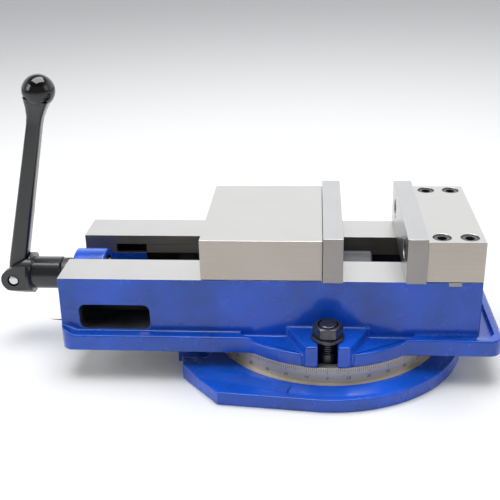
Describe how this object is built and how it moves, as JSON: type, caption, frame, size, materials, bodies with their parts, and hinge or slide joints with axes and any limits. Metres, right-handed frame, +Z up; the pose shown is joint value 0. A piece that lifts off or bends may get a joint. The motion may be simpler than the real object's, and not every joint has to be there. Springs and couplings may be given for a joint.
{
  "type": "machine vise",
  "caption": "Milling machine vise with ground jaws on a ribbed cast bed, a folding crank handle on its lead screw and a graduated swivel base with clamp nuts.",
  "frame": {"origin": "where the swivel axis meets the flat bottom of the base", "axes": "+Z up along the swivel axis, +X along the lead screw from the handle towards the fixed jaw, +Y to the rear"},
  "size_m": [0.4885, 0.27, 0.2756],
  "materials": {
    "blue_enamel": "gloss royal blue enamel over cast iron, with machined faces bare",
    "ground_steel": "surface ground",
    "hardened_steel": "hardened and ground",
    "black_oxide_steel": "black oxide",
    "black_handle_paint": "semi-gloss black paint",
    "zinc_plate": "bright zinc",
    "bearing_bronze": "oiled bronze"
  },
  "bodies": {
    "base": {"swivel_base": "blue_enamel", "swivel_pivot_pin": "ground_steel"},
    "vise": {"vise_body": "blue_enamel", "fixed_jaw": "ground_steel", "fixed_jaw_key": "hardened_steel", "fixed_jaw_bolt_1": "black_oxide_steel", "fixed_jaw_bolt_2": "black_oxide_steel", "fixed_jaw_bolt_3": "black_oxide_steel", "fixed_jaw_bolt_4": "black_oxide_steel", "fixed_jaw_plate": "hardened_steel", "fixed_plate_screw_1": "black_oxide_steel", "fixed_plate_screw_2": "black_oxide_steel", "thrust_washer_outer": "hardened_steel", "thrust_bearing": "bearing_bronze", "t_bolt_front": "black_oxide_steel", "t_bolt_rear": "black_oxide_steel", "swivel_washer_front": "black_oxide_steel", "swivel_washer_rear": "black_oxide_steel", "swivel_nut_front": "black_oxide_steel", "swivel_nut_rear": "black_oxide_steel"},
    "moving_jaw": {"movable_jaw": "ground_steel", "movable_jaw_plate": "hardened_steel", "movable_plate_screw_1": "black_oxide_steel", "movable_plate_screw_2": "black_oxide_steel", "jaw_nut": "ground_steel", "lock_half_ball": "hardened_steel", "jaw_lock_screw": "black_oxide_steel"},
    "screw": {"lead_screw": "ground_steel", "thrust_washer_inner": "hardened_steel", "thrust_collar": "black_oxide_steel", "collar_set_screw": "black_oxide_steel", "handle_hub": "black_handle_paint", "handle_pin": "zinc_plate"},
    "handle": {"handle_arm": "black_handle_paint"}
  },
  "joints": [
    {"name": "swivel", "type": "hinge", "parent": "base", "child": "vise", "pos_m": [0, 0, 0.0315], "axis": [0, 0, 1], "continuous": true},
    {"name": "screw_turn", "type": "hinge", "parent": "vise", "child": "screw", "pos_m": [-0.2535, 0, 0.0722], "axis": [1, 0, 0], "range_deg": [-6768, 4032]},
    {"name": "jaw_slide", "type": "slide", "parent": "vise", "child": "moving_jaw", "axis": [1, 0, 0], "range_m": [-0.094, 0.056]},
    {"name": "handle_fold", "type": "hinge", "parent": "screw", "child": "handle", "pos_m": [-0.3166, 0, 0.0696], "axis": [0, 1, 0], "range_deg": [-103, 0]}
  ],
  "couplings": [
    {"joint": "jaw_slide", "follows": "screw_turn", "m_per_rad": 0.00079577}
  ]
}
